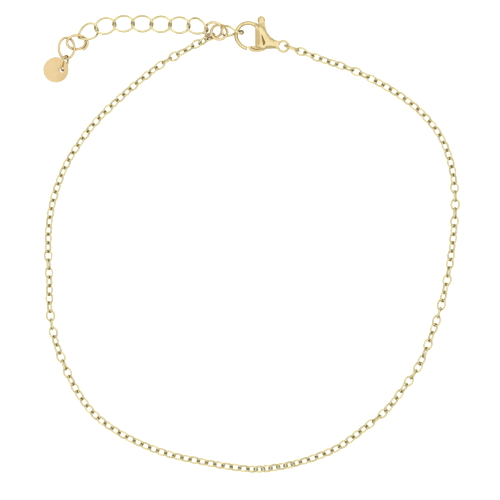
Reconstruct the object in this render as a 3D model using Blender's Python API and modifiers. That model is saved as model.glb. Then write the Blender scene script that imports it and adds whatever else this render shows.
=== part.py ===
"""Fine cable chain for the ankle, with a lobster clasp and a seven-link extender, fastened and lying flat.

Metres, +Z up. The bracelet lies on Z = 0. The origin is below the middle of its outline, +X runs towards the
side that the clasp's eye points to, and +Y from the loop's middle to the clasp.
"""

import math
from collections import namedtuple

import bmesh
import bpy
from mathutils import Matrix, Vector

MM = 0.001
COLLECTION = "cable_chain_ankle_bracelet"

# How finely the round shapes are cut: steps round a turn or along a line.
LINK_STEPS = 16
LAPPED_LINK_STEPS = 20
ROUTE_STEPS = 24
HOOK_STEPS = 20
EYE_STEPS = 24
PIN_SIDES = 16
DISC_STEPS = 32
DISC_HOLE_SIDES = 20
WELD_DISTANCE = 0.0005 * MM
WIRE_SHARP_ANGLE = 50.0
CASE_SHARP_ANGLE = 35.0

# The fine cable chain: oval links of round wire, each rolled a quarter turn against the one before it.
CHAIN_LINKS = 148
CHAIN_WIRE = 0.33 * MM
CHAIN_LINK_LENGTH = 2.17 * MM
CHAIN_LINK_WIDTH = 1.70 * MM
CHAIN_HEIGHT = 0.65 * MM
CHAIN_TUBE_DIAMETER = 1.30 * MM
REAL_LINKS_PER_END = 2
TUBE_GAP = 0.22 * MM
TUBE_POINTS = 78

# The route of the chain's middle line, from the clasp's jump ring round to the extender, in millimetres.
ChainPoint = namedtuple("ChainPoint", "x y")
CHAIN_ROUTE = [
    ChainPoint(*xy)
    for xy in (
        (7.9, 33.6), (12.6, 31.9), (17.3, 30.3), (21.9, 28.1), (26.2, 25.5), (30.0, 22.3), (33.0, 18.3),
        (34.7, 13.6), (35.3, 8.6), (35.2, 3.6), (34.7, -1.4), (33.9, -6.4), (32.7, -11.3), (31.1, -16.1),
        (29.2, -20.7), (26.4, -24.9), (23.3, -28.8), (19.4, -32.0), (15.3, -35.0), (10.7, -37.0),
        (5.9, -38.3), (0.9, -38.9), (-4.1, -38.4), (-9.0, -37.5), (-13.9, -36.4), (-18.6, -34.7),
        (-23.1, -32.4), (-27.1, -29.4), (-30.1, -25.4), (-32.3, -20.9), (-34.0, -16.1), (-34.8, -11.2),
        (-34.9, -6.2), (-35.1, -1.1), (-34.9, 3.9), (-33.9, 8.8), (-32.1, 13.5), (-29.5, 17.8),
        (-26.4, 21.7), (-22.8, 25.2), (-19.0, 28.5), (-15.0, 31.5), (-10.6, 34.0), (-6.3, 36.5),
    )
]

# The extender and the hook's link: larger ovals, curb twisted so that their two ends stand 90 degrees apart.
# A squareness of 2 is a plain oval, and more pushes its four shoulders out.
CURB_WIRE = 0.36 * MM
CURB_LINK_LENGTH = 4.00 * MM
CURB_LINK_WIDTH = 3.08 * MM
CURB_TWIST = 45.0
CURB_SQUARENESS = 2.4

# Rings and plain links: length, width and wire.
RingSize = namedtuple("RingSize", "length width wire")
RING_SIZES = {
    "joining_ring_1": RingSize(3.40 * MM, 3.40 * MM, 0.45 * MM),
    "joining_ring_2": RingSize(3.20 * MM, 3.20 * MM, 0.45 * MM),
    "clasp_jump_ring": RingSize(2.92 * MM, 2.92 * MM, 0.40 * MM),
    "end_link_1": RingSize(3.88 * MM, 3.04 * MM, 0.44 * MM),
    "end_link_2": RingSize(4.05 * MM, 3.13 * MM, 0.41 * MM),
    "charm_ring": RingSize(3.00 * MM, 3.00 * MM, 0.36 * MM),
}

# The wire of the first end link runs past a full turn, so that its first end lies above and outside its last.
LAPPED_LINK = "end_link_1"
LAP_FROM, LAP_TURN = -56.0, 435.0
LAP_SPREAD = 0.36 * MM
LAP_RISE = 0.45 * MM

# Where each link, ring and charm lies: its centre in millimetres, then heading, pitch and roll in degrees.
Place = namedtuple("Place", "x y z heading pitch roll")
PLACES = {
    "chain_link_first_1": Place(8.67, 33.36, 1.04, -19.5, 10.5, 27.3),
    "chain_link_first_2": Place(10.01, 32.87, 0.79, -21.1, 8.9, -62.5),
    "chain_link_last_1": Place(-7.16, 35.90, 0.61, 30.7, 4.5, -39.1),
    "chain_link_last_2": Place(-8.23, 35.19, 0.77, 43.5, -19.7, 53.1),
    "clasp_jump_ring": Place(7.07, 33.94, 1.46, -21.4, -4.9, -83.3),
    "hook_link": Place(-3.16, 36.80, 1.59, -5.5, -2.9, 70.5),
    "joining_ring_1": Place(-6.49, 37.08, 1.07, -2.9, 2.7, 25.6),
    "joining_ring_2": Place(-5.49, 36.72, 1.10, 0.0, -0.1, -19.2),
    "extender_link_1": Place(-9.20, 37.71, 0.98, -17.4, -8.8, 25.1),
    "extender_link_2": Place(-12.41, 37.94, 0.85, -2.7, 0.0, 0.0),
    "extender_link_3": Place(-15.62, 38.09, 0.85, -0.3, 0.0, 0.0),
    "extender_link_4": Place(-18.84, 38.18, 0.76, -2.8, 0.0, 0.0),
    "extender_link_5": Place(-22.05, 38.18, 0.76, 1.5, 0.0, 0.0),
    "extender_link_6": Place(-25.22, 37.77, 0.83, 13.2, 0.0, 0.0),
    "extender_link_7": Place(-28.21, 36.69, 1.01, 27.9, 1.5, -19.6),
    "end_link_1": Place(-30.13, 34.88, 1.14, 0.0, 4.8, 17.8),
    "end_link_2": Place(-31.90, 33.95, 1.10, -89.6, -5.0, 3.3),
    "charm_ring": Place(-32.22, 31.36, 1.43, -105.4, 2.5, -70.4),
    "disc_charm": Place(-33.73, 30.18, 1.25, 0.4, -8.4, 2.0),
}

DISC_DIAMETER = 4.36 * MM
DISC_THICKNESS = 0.50 * MM
DISC_EDGE_ROUND = 0.14 * MM
DISC_HOLE_DIAMETER = 0.94 * MM
DISC_HOLE_OFFSET = 1.02 * MM

# The lobster clasp. Its frame has its origin at the middle of the hook's round, in the clasp's middle plane.
CLASP_X, CLASP_Y = -0.47 * MM, 36.19 * MM
CLASP_MID_HEIGHT = 1.10 * MM
HOOK_RADIUS = 2.11 * MM
HOOK_WIRE_RADIUS = 0.33 * MM
HOOK_WIRE_DEPTH_FACTOR = 1.45
HOOK_START, HOOK_END = 47.0, 265.5
HOOK_FLARE = 0.19 * MM
HOOK_FLARE_FROM = 220.0
EYE_X, EYE_Y = 6.06 * MM, -1.94 * MM
EYE_RADIUS = 0.92 * MM
EYE_WIRE_RADIUS = 0.20 * MM
# The block that trims the clasp flat where it lies on the floor.
UNDERSIDE_BLOCK = 10.0 * MM

# The case is lofted through these sections along the clasp's X, in millimetres in the clasp's frame.
CaseSection = namedtuple("CaseSection", "x top bottom half_depth")
CASE_SECTIONS = [
    CaseSection(1.21, 2.14, -1.95, 0.66),
    CaseSection(1.51, 2.02, -2.25, 0.84),
    CaseSection(2.02, 1.80, -2.43, 1.15),
    CaseSection(2.72, 1.25, -2.60, 1.22),
    CaseSection(3.41, 0.38, -2.46, 1.10),
    CaseSection(4.10, -0.45, -2.32, 0.84),
    CaseSection(4.79, -0.90, -2.32, 0.52),
    CaseSection(5.31, -0.97, -2.47, 0.34),
]
CASE_SIDES = 20
CASE_SQUARENESS = 2.8

# The slot that the lever swings in: its outline in millimetres in the clasp's frame.
SlotPoint = namedtuple("SlotPoint", "x y")
SLOT_OUTLINE = [
    SlotPoint(*xy)
    for xy in (
        (1.60, 3.60), (4.85, 3.60), (4.85, 1.25), (4.05, 0.12), (3.98, -0.83), (3.84, -1.52), (3.56, -2.30),
        (3.30, -3.40), (0.80, -3.40), (0.80, -0.75), (1.60, -0.60),
    )
]
SLOT_WIDTH = 0.92 * MM

# The lever and its pin. Lever sizes are from the pivot, its outline's in millimetres.
PIVOT_X, PIVOT_Y = 2.94 * MM, -0.83 * MM
LEVER_THICKNESS = 0.80 * MM
LEVER_ARM = [(-2.96, -1.12), (-2.86, -1.54), (-2.56, -1.89), (-2.08, -2.06), (-1.21, -2.06), (-0.43, -1.96)]
LEVER_HEEL = [(0.10, -1.55), (0.36, -0.95)]
LEVER_BOSS_RADIUS = 0.86
LEVER_BOSS_ANGLES = (-40.0, -15.0, 10.0)
LEVER_STEM = [(0.20, 1.60), (-0.06, 2.80), (-0.16, 3.40), (-1.22, 3.40), (-1.24, 2.70), (-1.02, 1.73)]
LEVER_FRONT = [(-0.88, 0.10), (-1.05, -0.62), (-1.62, -1.02)]
THUMB_X, THUMB_Y = -0.69 * MM, 3.42 * MM
THUMB_RADIUS = 0.66 * MM
THUMB_HEIGHT_FACTOR = 1.06
THUMB_DEPTH_FACTOR = 0.80
PIN_RADIUS = 0.25 * MM
PIN_LENGTH = 1.64 * MM
PIN_GAP = 0.05 * MM

GOLD = (0.83, 0.62, 0.30)
GOLD_ROUGHNESS = 0.14
PALE_GOLD = (0.80, 0.64, 0.36)
PALE_GOLD_ROUGHNESS = 0.22


def clear_scene():
    for old in list(bpy.data.objects):
        bpy.data.objects.remove(old, do_unlink=True)


def new_collection(name):
    made = bpy.data.collections.new(name)
    bpy.context.scene.collection.children.link(made)
    return made


def gold(name, colour, roughness):
    """One plated gold-tone finish."""
    made = bpy.data.materials.new(name)
    made.use_nodes = True
    shader = made.node_tree.nodes["Principled BSDF"]
    shader.inputs["Base Color"].default_value = (*colour, 1.0)
    shader.inputs["Metallic"].default_value = 1.0
    shader.inputs["Roughness"].default_value = roughness
    made.diffuse_color = (*colour, 1.0)
    return made


def add_object(name, mesh, collection, material=None):
    made = bpy.data.objects.new(name, mesh)
    collection.objects.link(made)
    if material and not mesh.materials:
        mesh.materials.append(material)
    return made


def put(obj, place):
    """Moves and turns an object to its row in the table of places."""
    obj.location = (place.x * MM, place.y * MM, place.z * MM)
    obj.rotation_euler = (math.radians(place.roll), math.radians(place.pitch), math.radians(place.heading))


def wire_mesh(name, points, radius, closed, resolution=1):
    """A round wire along points, as a plain closed mesh."""
    curve = bpy.data.curves.new(name, "CURVE")
    curve.dimensions = "3D"
    curve.bevel_depth = radius
    curve.bevel_resolution = resolution
    curve.use_fill_caps = not closed
    spline = curve.splines.new("POLY")
    spline.points.add(len(points) - 1)
    for spot, point in zip(spline.points, points):
        spot.co = (*point, 1.0)
    spline.use_cyclic_u = closed
    guide = bpy.data.objects.new(name + "_guide", curve)
    bpy.context.scene.collection.objects.link(guide)
    graph = bpy.context.evaluated_depsgraph_get()
    mesh = bpy.data.meshes.new_from_object(guide.evaluated_get(graph))
    bpy.data.objects.remove(guide, do_unlink=True)
    mesh.name = name
    weld_and_face_out(mesh)
    mesh.shade_smooth()
    mesh.set_sharp_from_angle(angle=math.radians(WIRE_SHARP_ANGLE))
    return mesh


def weld_and_face_out(mesh):
    work = bmesh.new()
    work.from_mesh(mesh)
    bmesh.ops.remove_doubles(work, verts=work.verts, dist=WELD_DISTANCE)
    bmesh.ops.recalc_face_normals(work, faces=work.faces)
    work.to_mesh(mesh)
    work.free()


def oval_points(length, width, wire, count=LINK_STEPS, twist=0.0, squareness=2.0):
    """The middle line of an oval link. A twist rolls its ends by plus and minus that many degrees."""
    half_long, half_wide = (length - wire) / 2, (width - wire) / 2
    points = []
    for step in range(count):
        turn = 2 * math.pi * step / count
        reach = (abs(math.cos(turn)) ** squareness + abs(math.sin(turn)) ** squareness) ** (-1 / squareness)
        along, across = reach * math.cos(turn), half_wide * reach * math.sin(turn)
        roll = math.radians(twist) * along
        points.append((half_long * along, across * math.cos(roll), across * math.sin(roll)))
    return points


def lapped_points(size):
    """The middle line of an oval link whose two ends pass each other."""
    points = []
    for step in range(LAPPED_LINK_STEPS + 1):
        share = step / LAPPED_LINK_STEPS
        turn = math.radians(LAP_FROM + LAP_TURN * share)
        half_long = (size.length - size.wire) / 2 + LAP_SPREAD * (0.5 - share)
        half_wide = (size.width - size.wire) / 2 + LAP_SPREAD * (0.5 - share)
        points.append((half_long * math.cos(turn), half_wide * math.sin(turn), LAP_RISE * (0.5 - share)))
    return points


def smooth_route(route, steps=ROUTE_STEPS):
    """A Catmull-Rom curve through the route's points, finely sampled, in metres."""
    knots = [Vector((point.x * MM, point.y * MM, CHAIN_HEIGHT)) for point in route]
    knots = [2 * knots[0] - knots[1], *knots, 2 * knots[-1] - knots[-2]]
    line = []
    for before, start, end, after in zip(knots, knots[1:], knots[2:], knots[3:]):
        for step in range(steps):
            t = step / steps
            line.append(
                0.5
                * (
                    2 * start
                    + (end - before) * t
                    + (2 * before - 5 * start + 4 * end - after) * t**2
                    + (3 * start - before - 3 * end + after) * t**3
                )
            )
    line.append(knots[-2])
    return line


class Path:
    """A sampled line that can be read by distance along it."""

    def __init__(self, line):
        self.line = line
        self.run = [0.0]
        for here, there in zip(line, line[1:]):
            self.run.append(self.run[-1] + (there - here).length)
        self.length = self.run[-1]

    def at(self, distance):
        distance = min(max(distance, 0.0), self.length)
        low, high = 0, len(self.run) - 1
        while high - low > 1:
            middle = (low + high) // 2
            if self.run[middle] <= distance:
                low = middle
            else:
                high = middle
        part = (distance - self.run[low]) / (self.run[high] - self.run[low])
        return self.line[low].lerp(self.line[high], part)


def make_chain(collection, material):
    """The cable chain as a tube. The real links that it starts and ends with are in the table of places."""
    path = Path(smooth_route(CHAIN_ROUTE))
    pitch = path.length / CHAIN_LINKS
    start = (REAL_LINKS_PER_END - 0.5) * pitch + CHAIN_LINK_LENGTH / 2 + TUBE_GAP
    run = path.length - 2 * start
    points = [path.at(start + run * step / (TUBE_POINTS - 1)) for step in range(TUBE_POINTS)]
    mesh = wire_mesh("cable_chain", points, CHAIN_TUBE_DIAMETER / 2, False, resolution=2)
    add_object("cable_chain", mesh, collection, material)


def make_links_and_rings(collection, material, ring_material):
    chain_points = oval_points(CHAIN_LINK_LENGTH, CHAIN_LINK_WIDTH, CHAIN_WIRE)
    chain_mesh = wire_mesh("chain_link", chain_points, CHAIN_WIRE / 2, True)
    curb_points = oval_points(
        CURB_LINK_LENGTH, CURB_LINK_WIDTH, CURB_WIRE, twist=CURB_TWIST, squareness=CURB_SQUARENESS
    )
    curb_mesh = wire_mesh("curb_link", curb_points, CURB_WIRE / 2, True)
    for name, place in PLACES.items():
        if name in RING_SIZES:
            size = RING_SIZES[name]
            lapped = name == LAPPED_LINK
            points = lapped_points(size) if lapped else oval_points(size.length, size.width, size.wire)
            ring_mesh = wire_mesh(name, points, size.wire / 2, not lapped)
            put(add_object(name, ring_mesh, collection, ring_material), place)
        elif name.startswith("chain_link"):
            put(add_object(name, chain_mesh, collection, material), place)
        elif name != "disc_charm":
            put(add_object(name, curb_mesh, collection, material), place)


def disc_profile():
    """The disc's half section, down its outer side, with round edges."""
    radius, half = DISC_DIAMETER / 2, DISC_THICKNESS / 2
    turns = [math.radians(90 - 30 * step) for step in range(4)]
    flat, shoulder = radius - DISC_EDGE_ROUND, half - DISC_EDGE_ROUND
    upper = [
        (flat + DISC_EDGE_ROUND * math.cos(turn), shoulder + DISC_EDGE_ROUND * math.sin(turn))
        for turn in turns
    ]
    lower = [(x, -z) for x, z in reversed(upper)]
    return [(0.0, half), *upper, *lower, (0.0, -half)]


def make_disc(collection, cutters, material):
    mesh = bpy.data.meshes.new("disc_charm")
    profile = disc_profile()
    edges = [(step, step + 1) for step in range(len(profile) - 1)]
    mesh.from_pydata([(x, 0.0, z) for x, z in profile], edges, [])
    disc = add_object("disc_charm", mesh, collection, material)
    spin = disc.modifiers.new("turn", "SCREW")
    spin.steps = spin.render_steps = DISC_STEPS
    spin.use_merge_vertices = True
    spin.merge_threshold = 0.00001
    hole = round_cutter("disc_hole", cutters, DISC_HOLE_DIAMETER / 2, 2 * DISC_THICKNESS, DISC_HOLE_SIDES)
    hole.parent = disc
    hole.location.x = DISC_HOLE_OFFSET
    cut(disc, hole)
    put(disc, PLACES["disc_charm"])


def round_cutter(name, cutters, radius, depth, sides):
    mesh = bpy.data.meshes.new(name)
    work = bmesh.new()
    bmesh.ops.create_cone(work, cap_ends=True, segments=sides, radius1=radius, radius2=radius, depth=depth)
    work.to_mesh(mesh)
    work.free()
    return as_cutter(add_object(name, mesh, cutters))


def as_cutter(obj):
    obj.hide_render = True
    obj.display_type = "WIRE"
    return obj


def cut(obj, cutter, operation="DIFFERENCE"):
    step = obj.modifiers.new(cutter.name, "BOOLEAN")
    step.operation = operation
    step.solver = "EXACT"
    step.object = cutter


def flat_plate(name, outline, thickness):
    """A plate from a closed outline in the XY plane, its thickness centred on Z = 0."""
    curve = bpy.data.curves.new(name, "CURVE")
    curve.dimensions = "2D"
    curve.fill_mode = "BOTH"
    curve.extrude = thickness / 2
    spline = curve.splines.new("POLY")
    spline.points.add(len(outline) - 1)
    for spot, (x, y) in zip(spline.points, outline):
        spot.co = (x, y, 0.0, 1.0)
    spline.use_cyclic_u = True
    guide = bpy.data.objects.new(name + "_guide", curve)
    bpy.context.scene.collection.objects.link(guide)
    graph = bpy.context.evaluated_depsgraph_get()
    mesh = bpy.data.meshes.new_from_object(guide.evaluated_get(graph))
    bpy.data.objects.remove(guide, do_unlink=True)
    mesh.name = name
    weld_and_face_out(mesh)
    return mesh


def case_mesh():
    """The clasp's case, lofted through its sections. Each section is a rounded square."""
    work = bmesh.new()
    rings = []
    for section in CASE_SECTIONS:
        middle = (section.top + section.bottom) / 2
        half_height = (section.top - section.bottom) / 2
        ring = []
        for side in range(CASE_SIDES):
            turn = 2 * math.pi * side / CASE_SIDES
            y = math.copysign(abs(math.cos(turn)) ** (2 / CASE_SQUARENESS), math.cos(turn))
            z = math.copysign(abs(math.sin(turn)) ** (2 / CASE_SQUARENESS), math.sin(turn))
            ring.append(
                work.verts.new((section.x * MM, (middle + half_height * y) * MM, section.half_depth * z * MM))
            )
        rings.append(ring)
    for left, right in zip(rings, rings[1:]):
        for side in range(CASE_SIDES):
            after = (side + 1) % CASE_SIDES
            work.faces.new((left[side], left[after], right[after], right[side]))
    work.faces.new(rings[0])
    work.faces.new(rings[-1])
    bmesh.ops.recalc_face_normals(work, faces=work.faces)
    mesh = bpy.data.meshes.new("clasp_body")
    work.to_mesh(mesh)
    work.free()
    mesh.shade_smooth()
    mesh.set_sharp_from_angle(angle=math.radians(CASE_SHARP_ANGLE))
    return mesh


def hook_mesh():
    """The hook's wire, round and then a little wider towards its free end."""
    points = []
    for step in range(HOOK_STEPS + 1):
        angle = HOOK_START + (HOOK_END - HOOK_START) * step / HOOK_STEPS
        flare = max(0.0, (angle - HOOK_FLARE_FROM) / (HOOK_END - HOOK_FLARE_FROM))
        radius = HOOK_RADIUS + HOOK_FLARE * flare
        turn = math.radians(angle)
        points.append((radius * math.cos(turn), radius * math.sin(turn), 0.0))
    mesh = wire_mesh("clasp_hook", points, HOOK_WIRE_RADIUS, False, resolution=3)
    mesh.transform(Matrix.Diagonal((1.0, 1.0, HOOK_WIRE_DEPTH_FACTOR, 1.0)))
    return mesh


def make_clasp_body(collection, cutters, material, clasp):
    body = add_object("clasp_body", case_mesh(), collection, material)
    hook = as_cutter(add_object("clasp_hook", hook_mesh(), cutters))
    eye_outer = 2 * (EYE_RADIUS + EYE_WIRE_RADIUS)
    eye_line = oval_points(eye_outer, eye_outer, 2 * EYE_WIRE_RADIUS, EYE_STEPS)
    eye_mesh = wire_mesh("clasp_eye", eye_line, EYE_WIRE_RADIUS, True, resolution=2)
    eye = as_cutter(add_object("clasp_eye", eye_mesh, cutters))
    eye.location = (EYE_X, EYE_Y, 0.0)
    slot_outline = [(point.x * MM, point.y * MM) for point in SLOT_OUTLINE]
    slot_mesh = flat_plate("clasp_slot", slot_outline, SLOT_WIDTH)
    slot = as_cutter(add_object("clasp_slot", slot_mesh, cutters))
    seat_length = PIN_LENGTH + 2 * PIN_GAP
    pin_seat = round_cutter("clasp_pin_seat", cutters, PIN_RADIUS + PIN_GAP, seat_length, PIN_SIDES)
    pin_seat.location = (PIVOT_X, PIVOT_Y, 0.0)
    below = bpy.data.meshes.new("clasp_underside")
    work = bmesh.new()
    bmesh.ops.create_cube(work, size=UNDERSIDE_BLOCK)
    work.to_mesh(below)
    work.free()
    underside = as_cutter(add_object("clasp_underside", below, cutters))
    underside.location = (PIVOT_X, PIVOT_Y, -CLASP_MID_HEIGHT - UNDERSIDE_BLOCK / 2)
    for piece in (body, hook, eye, slot, pin_seat, underside):
        piece.parent = clasp
    cut(body, slot)
    cut(body, hook, "UNION")
    cut(body, eye, "UNION")
    cut(body, pin_seat)
    cut(body, underside)


def lever_outline():
    """The lever from above, about its pivot, anticlockwise from the inner corner of the arm's tip."""
    turns = [math.radians(angle) for angle in LEVER_BOSS_ANGLES]
    boss = [(LEVER_BOSS_RADIUS * math.cos(turn), LEVER_BOSS_RADIUS * math.sin(turn)) for turn in turns]
    return [(x * MM, y * MM) for x, y in LEVER_ARM + LEVER_HEEL + boss + LEVER_STEM + LEVER_FRONT]


def make_lever(collection, cutters, material, clasp):
    plate = flat_plate("clasp_lever", lever_outline(), LEVER_THICKNESS)
    lever = add_object("clasp_lever", plate, collection, material)
    thumb_mesh = bpy.data.meshes.new("thumb_tab")
    work = bmesh.new()
    bmesh.ops.create_uvsphere(work, u_segments=16, v_segments=8, radius=THUMB_RADIUS)
    work.to_mesh(thumb_mesh)
    work.free()
    thumb_mesh.transform(Matrix.Diagonal((1.0, THUMB_HEIGHT_FACTOR, THUMB_DEPTH_FACTOR, 1.0)))
    thumb = as_cutter(add_object("thumb_tab", thumb_mesh, cutters))
    thumb.location = (THUMB_X, THUMB_Y, 0.0)
    bore = round_cutter("lever_bore", cutters, PIN_RADIUS + PIN_GAP, 2 * LEVER_THICKNESS, PIN_SIDES)
    thumb.parent = bore.parent = lever
    cut(lever, thumb, "UNION")
    cut(lever, bore)
    lever.parent = clasp
    lever.location = (PIVOT_X, PIVOT_Y, 0.0)


def make_pin(collection, material, clasp):
    mesh = bpy.data.meshes.new("clasp_pin")
    work = bmesh.new()
    bmesh.ops.create_cone(
        work, cap_ends=True, segments=PIN_SIDES, radius1=PIN_RADIUS, radius2=PIN_RADIUS, depth=PIN_LENGTH
    )
    work.to_mesh(mesh)
    work.free()
    pin = add_object("clasp_pin", mesh, collection, material)
    pin.parent = clasp
    pin.location = (PIVOT_X, PIVOT_Y, 0.0)


def main():
    clear_scene()
    collection = new_collection(COLLECTION)
    cutters = new_collection("cutters")
    chain_gold = gold("chain_gold", PALE_GOLD, PALE_GOLD_ROUGHNESS)
    polished_gold = gold("polished_gold", GOLD, GOLD_ROUGHNESS)
    clasp = bpy.data.objects.new("clasp", None)
    collection.objects.link(clasp)
    clasp.location = (CLASP_X, CLASP_Y, CLASP_MID_HEIGHT)
    make_chain(collection, chain_gold)
    make_links_and_rings(collection, chain_gold, polished_gold)
    make_disc(collection, cutters, polished_gold)
    make_clasp_body(collection, cutters, polished_gold, clasp)
    make_lever(collection, cutters, polished_gold, clasp)
    make_pin(collection, polished_gold, clasp)


main()
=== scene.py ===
import math

import bmesh
import bpy
from mathutils import Euler, Matrix, Vector


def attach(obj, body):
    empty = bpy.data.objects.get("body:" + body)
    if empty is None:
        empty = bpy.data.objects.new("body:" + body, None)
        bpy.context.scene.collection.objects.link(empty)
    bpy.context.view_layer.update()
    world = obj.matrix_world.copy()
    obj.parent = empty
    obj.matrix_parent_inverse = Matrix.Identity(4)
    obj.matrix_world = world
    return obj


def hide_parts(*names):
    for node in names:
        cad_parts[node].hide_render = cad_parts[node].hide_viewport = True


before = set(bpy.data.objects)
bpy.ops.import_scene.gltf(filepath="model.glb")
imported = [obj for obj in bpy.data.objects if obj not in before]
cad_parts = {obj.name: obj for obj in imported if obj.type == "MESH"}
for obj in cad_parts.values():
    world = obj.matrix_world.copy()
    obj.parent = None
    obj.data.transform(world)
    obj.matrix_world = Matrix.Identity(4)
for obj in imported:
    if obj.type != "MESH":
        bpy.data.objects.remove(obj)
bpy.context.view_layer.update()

# An ankle chain of fine oval links with a lobster clasp and an extender, fastened and lying flat on white.
# Sizes are in millimetres unless a name says degrees, and mm turns them into Blender's metres.

mm = 0.001

studio = bpy.data.collections.new("studio")
jewellery = bpy.data.collections.new("ankle chain")
bpy.context.scene.collection.children.link(studio)
bpy.context.scene.collection.children.link(jewellery)


# Small helpers for node trees

def addNode(tree, kind, **settings):
    node = tree.nodes.new(kind)
    for name, value in settings.items():
        setattr(node, name, value)
    return node


def feed(tree, socket, value):
    # a socket takes another socket's link, or a plain value
    if isinstance(value, bpy.types.NodeSocket):
        tree.links.new(value, socket)
    else:
        socket.default_value = value


def maths(tree, operation, first, second=0.0):
    node = addNode(tree, "ShaderNodeMath", operation=operation)
    feed(tree, node.inputs[0], first)
    feed(tree, node.inputs[1], second)
    return node.outputs[0]


def noiseAt(tree, where, size, detail=2.0, stretch=None):
    # noise whose lumps are about size millimetres across
    if stretch:
        mapping = addNode(tree, "ShaderNodeMapping")
        tree.links.new(where, mapping.inputs["Vector"])
        mapping.inputs["Scale"].default_value = stretch
        where = mapping.outputs["Vector"]
    noise = addNode(tree, "ShaderNodeTexNoise")
    tree.links.new(where, noise.inputs["Vector"])
    noise.inputs["Scale"].default_value = 1.0 / (size * mm)
    noise.inputs["Detail"].default_value = detail
    return noise.outputs["Fac"]


def spread(tree, value, fromLow, fromHigh, low, high):
    node = addNode(tree, "ShaderNodeMapRange")
    for socket, amount in zip(node.inputs, (value, fromLow, fromHigh, low, high)):
        feed(tree, socket, amount)
    return node.outputs[0]


def mixedColour(tree, share, first, second):
    # on this node sockets 6 and 7 take the two colours, and the colour comes out of socket 2
    node = addNode(tree, "ShaderNodeMix", data_type="RGBA")
    feed(tree, node.inputs["Factor"], share)
    feed(tree, node.inputs[6], first)
    feed(tree, node.inputs[7], second)
    return node.outputs[2]


def splitSight(tree, forOthers, forCamera, outputKind):
    # the camera sees one shader, and everything else sees the other
    seen = addNode(tree, "ShaderNodeMixShader")
    tree.links.new(addNode(tree, "ShaderNodeLightPath").outputs["Is Camera Ray"], seen.inputs[0])
    tree.links.new(forOthers, seen.inputs[1])
    tree.links.new(forCamera, seen.inputs[2])
    tree.links.new(seen.outputs[0], addNode(tree, outputKind).inputs["Surface"])


# Gold finishes

# each finish lists its deep and pale plating tones, then the dark gold of the painted shade laid into its
# crevices
polishedLook = {
    "deep": (0.85, 0.67, 0.36),
    "pale": (0.90, 0.75, 0.45),
    "creviceShadeColour": (0.38, 0.25, 0.09),
    "roughness": (0.07, 0.14),
    "lumpSize": 1.6,
    "waveSize": 0.9,
    "waveHeight": 0.012,
    "scratchHeight": 0.0006,
}
endLook = {
    "deep": (0.82, 0.63, 0.31),
    "pale": (0.89, 0.72, 0.42),
    "creviceShadeColour": (0.40, 0.22, 0.06),
    "creviceReach": 1.3,
    "roughness": (0.08, 0.15),
    "lumpSize": 1.2,
    "waveSize": 0.7,
    "waveHeight": 0.014,
    "scratchHeight": 0.0006,
}
castLook = {
    "deep": (0.85, 0.68, 0.36),
    "pale": (0.90, 0.75, 0.43),
    "creviceShadeColour": (0.38, 0.25, 0.09),
    "roughness": (0.17, 0.25),
    "lumpSize": 1.8,
    "waveSize": 1.1,
    "waveHeight": 0.014,
    "scratchHeight": 0.0003,
}
discLook = {
    "deep": (0.82, 0.63, 0.33),
    "pale": (0.86, 0.68, 0.38),
    "creviceShadeColour": (0.38, 0.25, 0.09),
    "roughness": (0.07, 0.12),
    "lumpSize": 2.4,
    "waveSize": 1.8,
    "waveHeight": 0.008,
    "scratchHeight": 0.00005,
}
chainLook = {
    "deep": (0.86, 0.75, 0.39),
    "pale": (0.91, 0.81, 0.48),
    "creviceShadeColour": (0.28, 0.185, 0.05),
    "roughness": (0.10, 0.18),
    "lumpSize": 1.1,
    "waveSize": 0.6,
    "waveHeight": 0.008,
    "scratchHeight": 0.0006,
}
# what all the finishes share: where the noises are cut, and the sizes of what they draw
plating = {
    "tintCut": (0.35, 0.65),
    # the painted crevice shade: where the occlusion is cut, how far it looks, and how many samples it takes
    "creviceCut": (0.40, 0.92),
    "creviceReach": 0.60,
    "creviceSamples": 8,
    "cloudSize": 0.5,
    "cloudDetail": 4.0,
    "cloudCut": (0.3, 0.7),
    "hairlineSize": 0.12,
    "hairlineDetail": 3.0,
    "hairlineStretch": (1.0, 6.0, 1.0),
}


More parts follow.
